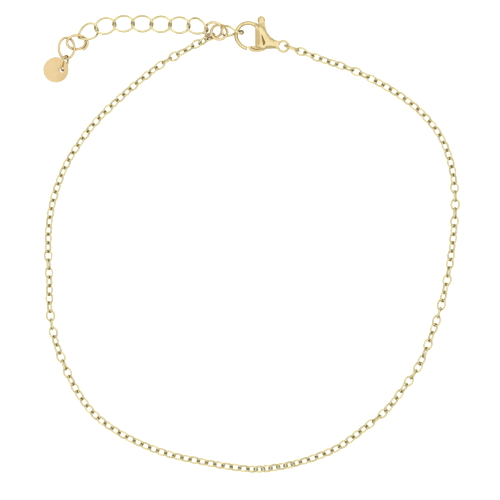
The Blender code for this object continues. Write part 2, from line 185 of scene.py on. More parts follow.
def platedGold(name, look):
    # the plating's colour drifts a little, and the polish leaves faint waves and hairlines
    gold = bpy.data.materials.new(name)
    gold.use_nodes = True
    tree = gold.node_tree
    shader = tree.nodes["Principled BSDF"]
    shader.inputs["Metallic"].default_value = 1.0
    where = addNode(tree, "ShaderNodeTexCoord").outputs["Object"]
    deep, pale, creviceShadeColour = ((*look[name], 1.0) for name in ("deep", "pale", "creviceShadeColour"))
    drift = noiseAt(tree, where, look["lumpSize"])
    tint = mixedColour(tree, spread(tree, drift, *plating["tintCut"], 0.0, 1.0), deep, pale)
    # painted shade where two wires meet: ambient occlusion blends the plating towards a dark gold in the
    # crevices
    openness = addNode(tree, "ShaderNodeAmbientOcclusion", samples=plating["creviceSamples"])
    openness.inputs["Distance"].default_value = look.get("creviceReach", plating["creviceReach"]) * mm
    creviceShadeShare = spread(tree, openness.outputs["AO"], *plating["creviceCut"], 1.0, 0.0)
    tree.links.new(mixedColour(tree, creviceShadeShare, tint, creviceShadeColour), shader.inputs["Base Color"])
    cloudy = noiseAt(tree, where, plating["cloudSize"], detail=plating["cloudDetail"])
    feed(tree, shader.inputs["Roughness"], spread(tree, cloudy, *plating["cloudCut"], *look["roughness"]))
    waves = maths(tree, "MULTIPLY", noiseAt(tree, where, look["waveSize"]), look["waveHeight"] * mm)
    detail, stretch = plating["hairlineDetail"], plating["hairlineStretch"]
    hairlines = noiseAt(tree, where, plating["hairlineSize"], detail, stretch)
    hairlines = maths(tree, "MULTIPLY", hairlines, look["scratchHeight"] * mm)
    bump = addNode(tree, "ShaderNodeBump")
    bump.inputs["Distance"].default_value = 1.0
    bump.inputs["Strength"].default_value = 1.0
    feed(tree, bump.inputs["Height"], maths(tree, "ADD", waves, hairlines))
    tree.links.new(bump.outputs["Normal"], shader.inputs["Normal"])
    gold.diffuse_color = pale
    return gold


polishedGold = platedGold("polished gold", polishedLook)
endGold = platedGold("end gold", endLook)
castGold = platedGold("cast gold", castLook)
discGold = platedGold("disc gold", discLook)
chainGold = platedGold("chain gold", chainLook)
print("stage 2: gold finishes mixed")


# Node tree that bends one wire link or ring

linkInputs = ("Length", "Width", "Wire", "Twist", "Start Angle", "Turn", "Spread", "Rise")
plainOval = 2.0


def namedInput(tree, name, kind, default=None):
    socket = tree.interface.new_socket(name, in_out="INPUT", socket_type=kind)
    if default is not None:
        socket.default_value = default
    return socket


def setInput(modifier, name, value):
    for item in modifier.node_group.interface.items_tree:
        if item.item_type == "SOCKET" and item.in_out == "INPUT" and item.name == name:
            modifier[item.identifier] = value
            return
    raise KeyError(name)


def ovalWire(tree, inputs, sides, steps):
    # a circle, or a wire wound past a full turn where Turn says so, pressed to an oval, twisted about its
    # length and given its thickness
    closed = addNode(tree, "GeometryNodeCurvePrimitiveCircle", mode="RADIUS")
    feed(tree, closed.inputs["Resolution"], steps)
    feed(tree, closed.inputs["Radius"], 1.0)
    straight = addNode(tree, "GeometryNodeResampleCurve", mode="COUNT")
    tree.links.new(addNode(tree, "GeometryNodeCurvePrimitiveLine").outputs[0], straight.inputs["Curve"])
    feed(tree, straight.inputs["Count"], steps)
    share = addNode(tree, "GeometryNodeSplineParameter").outputs["Factor"]
    turned = maths(tree, "ADD", inputs["Start Angle"], maths(tree, "MULTIPLY", inputs["Turn"], share))
    windAt = addNode(tree, "ShaderNodeCombineXYZ")
    feed(tree, windAt.inputs["X"], maths(tree, "COSINE", turned))
    feed(tree, windAt.inputs["Y"], maths(tree, "SINE", turned))
    wound = addNode(tree, "GeometryNodeSetPosition")
    tree.links.new(straight.outputs[0], wound.inputs["Geometry"])
    tree.links.new(windAt.outputs[0], wound.inputs["Position"])
    choose = addNode(tree, "GeometryNodeSwitch", input_type="GEOMETRY")
    feed(tree, choose.inputs["Switch"], maths(tree, "GREATER_THAN", inputs["Turn"], 0.0))
    tree.links.new(closed.outputs[0], choose.inputs["False"])
    tree.links.new(wound.outputs[0], choose.inputs["True"])
    spot = addNode(tree, "ShaderNodeSeparateXYZ")
    tree.links.new(addNode(tree, "GeometryNodeInputPosition").outputs[0], spot.inputs[0])
    # above 2, Squareness pushes the oval's four shoulders out
    squareness = inputs["Squareness"]
    sizeX, sizeY = (maths(tree, "ABSOLUTE", spot.outputs[axis]) for axis in ("X", "Y"))
    shoulders = maths(
        tree, "ADD", maths(tree, "POWER", sizeX, squareness), maths(tree, "POWER", sizeY, squareness)
    )
    reach = maths(tree, "POWER", shoulders, maths(tree, "DIVIDE", -1.0, squareness))
    spotX = maths(tree, "MULTIPLY", spot.outputs["X"], reach)
    spotY = maths(tree, "MULTIPLY", spot.outputs["Y"], reach)
    # a wound wire comes in and down from its first end to its last
    fromMiddle = maths(tree, "SUBTRACT", 0.5, share)
    widening = maths(tree, "MULTIPLY", inputs["Spread"], fromMiddle)
    halfLong = maths(tree, "MULTIPLY", maths(tree, "SUBTRACT", inputs["Length"], inputs["Wire"]), 0.5)
    halfWide = maths(tree, "MULTIPLY", maths(tree, "SUBTRACT", inputs["Width"], inputs["Wire"]), 0.5)
    halfLong = maths(tree, "ADD", halfLong, widening)
    across = maths(tree, "MULTIPLY", spotY, maths(tree, "ADD", halfWide, widening))
    roll = maths(tree, "MULTIPLY", spotX, inputs["Twist"])
    oval = addNode(tree, "ShaderNodeCombineXYZ")
    feed(tree, oval.inputs["X"], maths(tree, "MULTIPLY", spotX, halfLong))
    feed(tree, oval.inputs["Y"], maths(tree, "MULTIPLY", across, maths(tree, "COSINE", roll)))
    twisted = maths(tree, "MULTIPLY", across, maths(tree, "SINE", roll))
    climb = maths(tree, "MULTIPLY", inputs["Rise"], fromMiddle)
    feed(tree, oval.inputs["Z"], maths(tree, "ADD", twisted, climb))
    shape = addNode(tree, "GeometryNodeSetPosition")
    tree.links.new(choose.outputs[0], shape.inputs["Geometry"])
    tree.links.new(oval.outputs[0], shape.inputs["Position"])
    profile = addNode(tree, "GeometryNodeCurvePrimitiveCircle", mode="RADIUS")
    feed(tree, profile.inputs["Resolution"], sides)
    feed(tree, profile.inputs["Radius"], maths(tree, "MULTIPLY", inputs["Wire"], 0.5))
    tube = addNode(tree, "GeometryNodeCurveToMesh")
    tree.links.new(shape.outputs[0], tube.inputs["Curve"])
    tree.links.new(profile.outputs[0], tube.inputs["Profile Curve"])
    feed(tree, tube.inputs["Fill Caps"], True)
    return tube.outputs[0]


def finishTree(tree, shape, material):
    realized = addNode(tree, "GeometryNodeRealizeInstances")
    tree.links.new(shape, realized.inputs[0])
    shaded = addNode(tree, "GeometryNodeSetShadeSmooth")
    tree.links.new(realized.outputs[0], shaded.inputs[0])
    dressed = addNode(tree, "GeometryNodeSetMaterial")
    tree.links.new(shaded.outputs[0], dressed.inputs["Geometry"])
    tree.links.new(material, dressed.inputs["Material"])
    out = addNode(tree, "NodeGroupOutput")
    tree.links.new(dressed.outputs[0], out.inputs[0])


def buildLinkTree():
    tree = bpy.data.node_groups.new("bent wire link", "GeometryNodeTree")
    tree.interface.new_socket("Geometry", in_out="OUTPUT", socket_type="NodeSocketGeometry")
    for name in linkInputs:
        namedInput(tree, name, "NodeSocketFloat", 0.0)
    namedInput(tree, "Squareness", "NodeSocketFloat", plainOval)
    namedInput(tree, "Steps", "NodeSocketInt", 64)
    namedInput(tree, "Sides", "NodeSocketInt", 16)
    namedInput(tree, "Gold", "NodeSocketMaterial")
    start = addNode(tree, "NodeGroupInput").outputs
    shape = ovalWire(tree, start, start["Sides"], start["Steps"])
    finishTree(tree, shape, start["Gold"])
    return tree


def plainMesh(obj):
    # the evaluated shape as a plain mesh, with the modifiers gone
    graph = bpy.context.evaluated_depsgraph_get()
    mesh = bpy.data.meshes.new_from_object(obj.evaluated_get(graph))
    obj.modifiers.clear()
    obj.data = mesh
    mesh.name = obj.name
    return mesh


def faceOut(mesh, weld=0.0002):
    work = bmesh.new()
    work.from_mesh(mesh)
    bmesh.ops.remove_doubles(work, verts=work.verts, dist=weld * mm)
    bmesh.ops.recalc_face_normals(work, faces=work.faces)
    work.to_mesh(mesh)
    work.free()


def lay(x, y, z, heading, pitch, roll):
    # where a link or ring lies: its middle, then its turns in degrees
    turn = Euler([math.radians(angle) for angle in (roll, pitch, heading)]).to_matrix().to_4x4()
    return Matrix.Translation(Vector((x, y, z)) * mm) @ turn


def newPiece(name, mesh=None):
    piece = bpy.data.objects.new(name, mesh or bpy.data.meshes.new(name))
    jewellery.objects.link(piece)
    return piece


def hang(piece, body, nodes):
    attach(piece, body)
    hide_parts(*nodes)


linkTree = buildLinkTree()


def bendLink(name, size, place, gold, node):
    link = newPiece(name)
    bend = link.modifiers.new("bend the wire", "NODES")
    bend.node_group = linkTree
    for label in ("Length", "Width", "Wire", "Spread", "Rise"):
        setInput(bend, label, size.get(label.lower(), 0.0) * mm)
    for label, key in (("Twist", "twistDegrees"), ("Start Angle", "fromDegrees"), ("Turn", "turnDegrees")):
        setInput(bend, label, math.radians(size.get(key, 0.0)))
    setInput(bend, "Squareness", size.get("squareness", plainOval))
    setInput(bend, "Steps", size["steps"])
    setInput(bend, "Sides", size["sides"])
    setInput(bend, "Gold", gold)
    mesh = plainMesh(link)
    faceOut(mesh)
    mesh.transform(lay(*place))
    hang(link, "bracelet", [node])
    return link


# The larger links and rings, each a real bent wire

curbLink = {
    "length": 4.00,
    "width": 3.08,
    "wire": 0.36,
    "twistDegrees": 45.0,
    "squareness": 2.4,
    "steps": 72,
    "sides": 16,
}
curbPlaces = {
    "hook_link": (-3.16, 36.80, 1.59, -5.5, -2.9, 70.5),
    "extender_link_1": (-9.20, 37.71, 0.98, -17.4, -8.8, 25.1),
    "extender_link_2": (-12.41, 37.94, 0.85, -2.7, 0.0, 0.0),
    "extender_link_3": (-15.62, 38.09, 0.85, -0.3, 0.0, 0.0),
    "extender_link_4": (-18.84, 38.18, 0.76, -2.8, 0.0, 0.0),
    "extender_link_5": (-22.05, 38.18, 0.76, 1.5, 0.0, 0.0),
    "extender_link_6": (-25.22, 37.77, 0.83, 13.2, 0.0, 0.0),
    "extender_link_7": (-28.21, 36.69, 1.01, 27.9, 1.5, -19.6),
}
for node, place in curbPlaces.items():
    bendLink(node + "_wire", curbLink, place, chainGold, node)

ringWires = {
    "joining_ring_1": {"length": 3.40, "width": 3.40, "wire": 0.45, "steps": 72, "sides": 18},
    "joining_ring_2": {"length": 3.20, "width": 3.20, "wire": 0.45, "steps": 72, "sides": 18},
    "clasp_jump_ring": {"length": 2.92, "width": 2.92, "wire": 0.40, "steps": 64, "sides": 16},
    "end_link_1": {
        "length": 3.88, "width": 3.04, "wire": 0.44, "steps": 88, "sides": 16,
        "fromDegrees": -56.0, "turnDegrees": 435.0, "spread": 0.36, "rise": 0.45,
    },
    "end_link_2": {"length": 4.05, "width": 3.13, "wire": 0.41, "steps": 72, "sides": 16},
    "charm_ring": {"length": 3.00, "width": 3.00, "wire": 0.36, "steps": 64, "sides": 16},
}
ringPlaces = {
    "joining_ring_1": (-6.49, 37.08, 1.07, -2.9, 2.7, 25.6),
    "joining_ring_2": (-5.49, 36.72, 1.10, 0.0, -0.1, -19.2),
    "clasp_jump_ring": (7.07, 33.94, 1.46, -21.4, -4.9, -83.3),
    "end_link_1": (-30.13, 34.88, 1.14, 0.0, 4.8, 17.8),
    "end_link_2": (-31.90, 33.95, 1.10, -89.6, -5.0, 3.3),
    "charm_ring": (-32.22, 31.36, 1.43, -105.4, 2.5, -70.4),
}
for node, place in ringPlaces.items():
    gold = endGold if node.startswith("end_link") else polishedGold
    bendLink(node + "_wire", ringWires[node], place, gold, node)
print("stage 3: links and rings bent")


# The fine cable chain

cable = {
    "links": 148,
    "length": 2.17,
    "width": 1.70,
    "wire": 0.33,
    "floorGap": 0.02,
    "heightStep": 0.10,
    "rollJitterDegrees": 4.0,
    "headingJitterDegrees": 2.0,
    "steps": 18,
    "sides": 6,
    "seed": 7,
}
endLinks = {
    "chain_link_first_1": (8.67, 33.36, 1.04, -19.5, 10.5, 27.3),
    "chain_link_first_2": (10.01, 32.87, 0.79, -21.1, 8.9, -62.5),
    "chain_link_last_1": (-7.16, 35.90, 0.61, 30.7, 4.5, -39.1),
    "chain_link_last_2": (-8.23, 35.19, 0.77, 43.5, -19.7, 53.1),
}
# the chain's middle line from the clasp round to the extender
cableRoute = [
    (7.9, 33.6), (12.6, 31.9), (17.3, 30.3), (21.9, 28.1), (26.2, 25.5), (30.0, 22.3), (33.0, 18.3),
    (34.7, 13.6), (35.3, 8.6), (35.2, 3.6), (34.7, -1.4), (33.9, -6.4), (32.7, -11.3), (31.1, -16.1),
    (29.2, -20.7), (26.4, -24.9), (23.3, -28.8), (19.4, -32.0), (15.3, -35.0), (10.7, -37.0),
    (5.9, -38.3), (0.9, -38.9), (-4.1, -38.4), (-9.0, -37.5), (-13.9, -36.4), (-18.6, -34.7),
    (-23.1, -32.4), (-27.1, -29.4), (-30.1, -25.4), (-32.3, -20.9), (-34.0, -16.1), (-34.8, -11.2),
    (-34.9, -6.2), (-35.1, -1.1), (-34.9, 3.9), (-33.9, 8.8), (-32.1, 13.5), (-29.5, 17.8),
    (-26.4, 21.7), (-22.8, 25.2), (-19.0, 28.5), (-15.0, 31.5), (-10.6, 34.0), (-6.3, 36.5),
]
# how far the chain is turned about its own length, by link number, in degrees
cableLean = [
    (0, -12), (2, -8), (4, 9), (6, 20), (7, 27), (8, 22), (10, 4), (24, 3), (26, -20), (27, -30), (28, -37),
    (29, -31), (31, -5), (34, -3), (35, 10), (36, 30), (37, 33), (38, 18), (39, -3), (40, -24), (41, -36),
    (42, -21), (43, 0), (44, 21), (45, 35), (46, 24), (47, 2), (48, -18), (49, -32), (50, -27), (52, -8),
    (54, 4), (55, 19), (56, 33), (57, 18), (59, 3), (96, 2), (98, 15), (100, 32), (101, 26), (102, 11),
    (103, -6), (104, -25), (105, -39), (106, -36), (107, -18), (109, 2), (111, 19), (112, 33), (113, 19),
    (115, 0), (136, -5), (139, -5), (140, -13), (141, -27), (142, -32), (143, -9), (144, 20), (145, 22),
    (147, -15),
]
# how far a link has slid along the route from its even share of it, by link number
cableSlip = [
    (0, 0.0), (20, 0.18), (33, 0.31), (45, 0.25), (57, -0.02), (67, -0.02), (69, -0.38), (71, -0.65),
    (73, -1.03), (82, -1.13), (94, -1.05), (106, -0.84), (118, -0.55), (130, -0.11), (136, -0.01),
    (147, 0.0),
]


def between(table, at):
    # a value read off a table of pairs, on a straight line from pair to pair
    for (first, low), (last, high) in zip(table, table[1:]):
        if at <= last:
            return low + (high - low) * max(0.0, at - first) / (last - first)
    return table[-1][1]


def smoothRoute(steps=24):
    # a Catmull-Rom curve through the route's points
    knots = [Vector((x * mm, y * mm)) for x, y in cableRoute]
    knots = [2 * knots[0] - knots[1], *knots, 2 * knots[-1] - knots[-2]]
    line = []
    for before, start, end, after in zip(knots, knots[1:], knots[2:], knots[3:]):
        for step in range(steps):
            t = step / steps
            curve = 2 * start + (end - before) * t + (2 * before - 5 * start + 4 * end - after) * t**2
            line.append(0.5 * (curve + (3 * start - before - 3 * end + after) * t**3))
    line.append(knots[-2])
    return line


def routeObject():
    # the route as a row of points that carry the lean and the slip of the links on them
    line = smoothRoute()
    mesh = bpy.data.meshes.new("cable_route")
    mesh.from_pydata([(p.x, p.y, 0.0) for p in line], [(i, i + 1) for i in range(len(line) - 1)], [])
    run = [0.0]
    for here, there in zip(line, line[1:]):
        run.append(run[-1] + (there - here).length)
    linkAt = [cable["links"] * distance / run[-1] - 0.5 for distance in run]
    lean = mesh.attributes.new("lean", "FLOAT", "POINT")
    lean.data.foreach_set("value", [math.radians(between(cableLean, at)) for at in linkAt])
    slip = mesh.attributes.new("slip", "FLOAT", "POINT")
    slip.data.foreach_set("value", [between(cableSlip, at) * mm for at in linkAt])
    return newPiece("cable_links", mesh), run[-1]


def randomAbout(tree, size, seed):
    # a random number between minus size and size, the same each run
    node = addNode(tree, "FunctionNodeRandomValue", data_type="FLOAT")
    feed(tree, node.inputs[2], maths(tree, "MULTIPLY", size, -1.0))
    feed(tree, node.inputs[3], size)
    feed(tree, node.inputs["Seed"], seed)
    return node.outputs[1]


def buildChainTree():
    tree = bpy.data.node_groups.new("cable chain", "GeometryNodeTree")
    tree.interface.new_socket("Geometry", in_out="OUTPUT", socket_type="NodeSocketGeometry")
    namedInput(tree, "Route", "NodeSocketGeometry")
    for name in linkInputs + (
        "Squareness", "Pitch", "First Distance", "Floor Gap", "Height Step", "Roll Jitter",
        "Heading Jitter",
    ):
        namedInput(tree, name, "NodeSocketFloat", 0.0)
    for name in ("Count", "Steps", "Sides", "Seed"):
        namedInput(tree, name, "NodeSocketInt", 1)
    namedInput(tree, "Gold", "NodeSocketMaterial")
    start = addNode(tree, "NodeGroupInput").outputs

    link = ovalWire(tree, start, start["Sides"], start["Steps"])

    spots = addNode(tree, "GeometryNodePoints")
    feed(tree, spots.inputs["Count"], start["Count"])
    index = addNode(tree, "GeometryNodeInputIndex").outputs[0]
    run = addNode(tree, "GeometryNodeMeshToCurve")
    tree.links.new(start["Route"], run.inputs[0])
    share = maths(tree, "ADD", start["First Distance"], maths(tree, "MULTIPLY", index, start["Pitch"]))

    def readRoute(distance, value=None):
        read = addNode(tree, "GeometryNodeSampleCurve", mode="LENGTH", data_type="FLOAT")
        read.use_all_curves = True
        tree.links.new(run.outputs[0], read.inputs["Curves"])
        tree.links.new(distance, read.inputs["Length"])
        if value:
            tree.links.new(value, read.inputs["Value"])
        return read.outputs

    carried = {}
    for name in ("lean", "slip"):
        stored = addNode(tree, "GeometryNodeInputNamedAttribute", data_type="FLOAT")
        stored.inputs["Name"].default_value = name
        carried[name] = readRoute(share, stored.outputs[0])["Value"]
    onRoute = readRoute(maths(tree, "ADD", share, carried["slip"]))

    # every second link is rolled a quarter turn against its neighbours
    odd = maths(tree, "MODULO", index, 2.0)
    quarter = maths(tree, "MULTIPLY", maths(tree, "SUBTRACT", 0.5, odd), math.radians(90))
    jitter = randomAbout(tree, start["Roll Jitter"], start["Seed"])
    leaning = maths(tree, "ADD", carried["lean"], jitter)
    roll = maths(tree, "ADD", leaning, quarter)
    otherRoll = maths(tree, "SUBTRACT", leaning, quarter)

    # a link lies as low as its roll lets it, and never far below the next one
    halfWide = maths(tree, "MULTIPLY", maths(tree, "SUBTRACT", start["Width"], start["Wire"]), 0.5)
    clear = maths(tree, "ADD", maths(tree, "MULTIPLY", start["Wire"], 0.5), start["Floor Gap"])
    own = maths(tree, "MULTIPLY", halfWide, maths(tree, "ABSOLUTE", maths(tree, "SINE", roll)))
    other = maths(tree, "MULTIPLY", halfWide, maths(tree, "ABSOLUTE", maths(tree, "SINE", otherRoll)))
    other = maths(tree, "SUBTRACT", other, start["Height Step"])
    height = maths(tree, "ADD", maths(tree, "MAXIMUM", own, other), clear)
    lift = addNode(tree, "ShaderNodeCombineXYZ")
    feed(tree, lift.inputs["Z"], height)
    placed = addNode(tree, "GeometryNodeSetPosition")
    tree.links.new(spots.outputs[0], placed.inputs["Geometry"])
    tree.links.new(onRoute["Position"], placed.inputs["Position"])
    tree.links.new(lift.outputs[0], placed.inputs["Offset"])

    facing = addNode(tree, "FunctionNodeAxesToRotation", primary_axis="X", secondary_axis="Z")
    tree.links.new(onRoute["Tangent"], facing.inputs[0])
    facing.inputs[1].default_value = (0.0, 0.0, 1.0)
    skew = randomAbout(tree, start["Heading Jitter"], maths(tree, "ADD", start["Seed"], 1.0))
    lying = facing.outputs[0]
    for axis, angle in (("Z", skew), ("X", roll)):
        angles = addNode(tree, "ShaderNodeCombineXYZ")
        feed(tree, angles.inputs[axis], angle)
        turn = addNode(tree, "FunctionNodeEulerToRotation")
        tree.links.new(angles.outputs[0], turn.inputs[0])
        turned = addNode(tree, "FunctionNodeRotateRotation", rotation_space="LOCAL")
        tree.links.new(lying, turned.inputs[0])
        tree.links.new(turn.outputs[0], turned.inputs[1])
        lying = turned.outputs[0]

    threaded = addNode(tree, "GeometryNodeInstanceOnPoints")
    tree.links.new(placed.outputs[0], threaded.inputs["Points"])
    tree.links.new(link, threaded.inputs["Instance"])
    tree.links.new(lying, threaded.inputs["Rotation"])
    finishTree(tree, threaded.outputs[0], start["Gold"])
    return tree


def threadCable():
    chain, routeLength = routeObject()
    pitch = routeLength / cable["links"]
    threading = chain.modifiers.new("thread the links", "NODES")
    threading.node_group = buildChainTree()
    for label, key in (
        ("Length", "length"), ("Width", "width"), ("Wire", "wire"), ("Floor Gap", "floorGap"),
        ("Height Step", "heightStep"),
    ):
        setInput(threading, label, cable[key] * mm)
    for label, key in (("Roll Jitter", "rollJitterDegrees"), ("Heading Jitter", "headingJitterDegrees")):
        setInput(threading, label, math.radians(cable[key]))
    for label in ("Steps", "Sides", "Seed"):
        setInput(threading, label, cable[label.lower()])
    setInput(threading, "Squareness", plainOval)
    setInput(threading, "Pitch", pitch)
    # half of the end links come before this run, and a link's middle is half a pitch on
    setInput(threading, "First Distance", (len(endLinks) / 2 + 0.5) * pitch)
    setInput(threading, "Count", cable["links"] - len(endLinks))
    setInput(threading, "Gold", chainGold)
    mesh = plainMesh(chain)
    faceOut(mesh)
    hang(chain, "bracelet", ["cable_chain"])
    print("  route", round(routeLength / mm, 2), "pitch", round(pitch / mm, 4), "faces", len(mesh.polygons))


threadCable()
# the links at the chain's two ends are the same wire with more sides
plainLink = {**cable, "steps": 40, "sides": 12}
for node, place in endLinks.items():
    bendLink(node + "_wire", plainLink, place, chainGold, node)
print("stage 4: chain threaded")


# The lobster clasp

claspMiddle = Vector((-0.47, 36.19, 1.10)) * mm
hook = {
    "radius": 2.11,
    "wireRadius": 0.33,
    "depthFactor": 1.45,
    "fromDegrees": 40.0,
    "toDegrees": 265.5,
    "flare": 0.19,
    "flareFromDegrees": 220.0,
    "tipShare": 0.035,
    "tipShrink": 0.28,
    "steps": 90,
    "sides": 28,
}
eye = {
    "x": 6.06,
    "y": -1.94,
    "radius": 0.92,
    "wireRadius": 0.20,
    "depthFactor": 1.15,
    "steps": 64,
    "sides": 20,
}
case = {
    # x, top, bottom, half depth
    "sections": [
        (1.21, 2.14, -1.95, 0.66), (1.51, 2.02, -2.25, 0.84), (2.02, 1.80, -2.43, 1.15),
        (2.72, 1.25, -2.60, 1.22), (3.41, 0.38, -2.46, 1.10), (4.10, -0.45, -2.32, 0.84),
        (4.79, -0.90, -2.32, 0.52), (5.31, -0.97, -2.47, 0.34),
    ],
    # the row of the sections where the flat front ends
    "ridge": 2,
    "floorGap": 0.004,
    "rows": 84,
    "sides": 96,
    "slotWidth": 0.92,
    "slot": [
        (1.60, 3.60), (4.85, 3.60), (4.85, 1.25), (4.05, 0.12), (3.98, -0.83), (3.84, -1.52), (3.56, -2.30),
        (3.30, -3.40), (0.80, -3.40), (0.80, -0.75), (1.60, -0.60),
    ],
    "voxel": 0.034,
    "softenings": 5,
    # at the front, behind it, and how far the change reaches
    "squareness": (3.2, 2.1, 2.2),
}
# the curved fold pressed into the case's cheek: x, y, half width
cheekFold = {
    "line": [
        (2.34, 0.02, 0.05), (2.44, -0.42, 0.07), (2.57, -0.88, 0.12), (2.70, -1.22, 0.20),
        (2.72, -1.50, 0.19), (2.62, -1.80, 0.07),
    ],
    "height": 1.20,
    "depth": 0.34,
}
foldSides = 16
pivot = {"x": 2.94, "y": -0.83, "pinRadius": 0.25, "gap": 0.05}
# longer than anything it goes through
punch = {"length": 2.0, "sides": 48}
lever = {
    "thickness": 0.80,
    "edgeRound": 0.14,
    "edgeSteps": 4,
    "edgeFromDegrees": 60.0,
    "outline": [
        (-2.96, -1.12), (-2.86, -1.54), (-2.56, -1.89), (-2.08, -2.06), (-1.21, -2.06), (-0.43, -1.96),
        (0.10, -1.55), (0.36, -0.95), (0.66, -0.55), (0.83, -0.22), (0.85, 0.15), (0.20, 1.60),
        (-0.06, 2.80), (-0.16, 3.40), (-1.22, 3.40), (-1.24, 2.70), (-1.02, 1.73), (-0.88, 0.10),
        (-1.05, -0.62), (-1.62, -1.02),
    ],
    "thumb": (-0.69, 3.42),
    "thumbRadius": 0.66,
    "thumbStretch": (1.0, 1.06, 0.80),
    "thumbSteps": (40, 24),
    "armFold": [
        (-2.50, -1.22, 0.05), (-2.22, -1.46, 0.09), (-1.80, -1.62, 0.08), (-1.20, -1.68, 0.05),
        (-0.60, -1.62, 0.03),
    ],
    "armFoldDepth": 0.16,
    "voxel": 0.034,
    "softenings": 5,
}


def softColumn(column, x):
    # a value of the case's sections at x, without overshoot between the rows
    rows = [(row[0], row[column]) for row in case["sections"]]
    slopes = [(b[1] - a[1]) / (b[0] - a[0]) for a, b in zip(rows, rows[1:])]
    tangents = [slopes[0]]
    for left, right in zip(slopes, slopes[1:]):
        tangents.append(0.0 if left * right <= 0 else 2 * left * right / (left + right))
    tangents.append(slopes[-1])
    x = min(max(x, rows[0][0]), rows[-1][0])
    at = max(i for i, row in enumerate(rows[:-1]) if row[0] <= x)
    width = rows[at + 1][0] - rows[at][0]
    t = (x - rows[at][0]) / width
    return (
        (2 * t**3 - 3 * t**2 + 1) * rows[at][1]
        + (t**3 - 2 * t**2 + t) * width * tangents[at]
        + (3 * t**2 - 2 * t**3) * rows[at + 1][1]
        + (t**3 - t**2) * width * tangents[at + 1]
    )


def meshFrom(work, name):
    mesh = bpy.data.meshes.new(name)
    work.to_mesh(mesh)
    work.free()
    return mesh


def joinRings(work, rings):
    # a closed skin over rings of points
    count = len(rings[0])
    for left, right in zip(rings, rings[1:]):
        for side in range(count):
            after = (side + 1) % count
            work.faces.new((left[side], left[after], right[after], right[side]))
    work.faces.new(rings[0])
    work.faces.new(rings[-1])
    bmesh.ops.recalc_face_normals(work, faces=work.faces)


def loftCase():
    # the teardrop case: a flat bevelled front up to the ridge, then the dome and the neck
    work = bmesh.new()
    first, last = case["sections"][0][0], case["sections"][-1][0]
    frontDepth = case["sections"][0][3]
    ridgeX, _, _, ridgeDepth = case["sections"][case["ridge"]]
    squareFirst, squareLast, reach = case["squareness"]
    rings = []
    for row in range(case["rows"] + 1):
        x = first + (last - first) * row / case["rows"]
        top, bottom, depth = (softColumn(column, x) for column in (1, 2, 3))
        if x <= ridgeX:
            depth = frontDepth + (ridgeDepth - frontDepth) * (x - first) / (ridgeX - first)
        square = squareFirst + (squareLast - squareFirst) * min(1.0, max(0.0, (x - first) / reach))
        ring = []
        for side in range(case["sides"]):
            turn = math.tau * side / case["sides"]
            y = math.copysign(abs(math.cos(turn)) ** (2 / square), math.cos(turn))
            z = math.copysign(abs(math.sin(turn)) ** (2 / square), math.sin(turn))
            y = (top + bottom) / 2 + (top - bottom) / 2 * y
            ring.append(work.verts.new((x * mm, y * mm, depth * z * mm)))
        rings.append(ring)
    joinRings(work, rings)
    return meshFrom(work, "clasp_case")


def bentRod(name, line, half, sides):
    # an oval rod along a line in the XY plane. half gives its half width and half depth at each point
    work = bmesh.new()
    rings = []
    for i, point in enumerate(line):
        ahead = line[min(i + 1, len(line) - 1)] - line[max(i - 1, 0)]
        outward = Vector((ahead.y, -ahead.x, 0.0)).normalized()
        wide, deep = half(i / (len(line) - 1))
        ring = []
        for side in range(sides):
            turn = math.tau * side / sides
            offset = outward * (wide * math.cos(turn)) + Vector((0, 0, deep * math.sin(turn)))
            ring.append(work.verts.new((point + offset) * mm))
        rings.append(ring)
    joinRings(work, rings)
    return meshFrom(work, name)


def hookRod():
    line = []
    for step in range(hook["steps"] + 1):
        angle = hook["fromDegrees"] + (hook["toDegrees"] - hook["fromDegrees"]) * step / hook["steps"]
        run = (angle - hook["flareFromDegrees"]) / (hook["toDegrees"] - hook["flareFromDegrees"])
        reach = hook["radius"] + hook["flare"] * max(0.0, run)
        turn = math.radians(angle)
        line.append(Vector((reach * math.cos(turn), reach * math.sin(turn), 0)))

    def half(t):
        # the last bit before the tip is rounded off
        ease = min(1.0, (1.0 - t) / hook["tipShare"])
        shrink = 1 - hook["tipShrink"] + hook["tipShrink"] * math.sqrt(max(0.0, 1 - (1 - ease) ** 2))
        return hook["wireRadius"] * shrink, hook["wireRadius"] * hook["depthFactor"] * shrink

    return bentRod("clasp_hook", line, half, hook["sides"])


def eyeRing():
    line = []
    for step in range(eye["steps"] + 1):
        angle = math.tau * step / eye["steps"]
        spot = Vector((math.cos(angle), math.sin(angle), 0.0)) * eye["radius"]
        line.append(Vector((eye["x"], eye["y"], 0.0)) + spot)
    halves = (eye["wireRadius"], eye["wireRadius"] * eye["depthFactor"])
    return bentRod("clasp_eye", line, lambda t: halves, eye["sides"])


def foldRod(rows, height, depth):
    # a cutter for a pressed fold: its line in the XY plane, with its half width at each point
    line = [Vector((x, y, height)) for x, y, _ in rows]
    halves = [half for _, _, half in rows]

    def half(t):
        at = min(int(t * (len(halves) - 1)), len(halves) - 2)
        part = t * (len(halves) - 1) - at
        return halves[at] * (1 - part) + halves[at + 1] * part, depth

    return bentRod("fold", line, half, foldSides)


def plate(name, outline, thickness):
    work = bmesh.new()
    low = [work.verts.new((x * mm, y * mm, -thickness / 2 * mm)) for x, y in outline]
    base = work.faces.new(low)
    pushed = bmesh.ops.extrude_face_region(work, geom=[base])
    upper = [item for item in pushed["geom"] if isinstance(item, bmesh.types.BMVert)]
    bmesh.ops.translate(work, verts=upper, vec=(0, 0, thickness * mm))
    bmesh.ops.recalc_face_normals(work, faces=work.faces)
    return meshFrom(work, name)


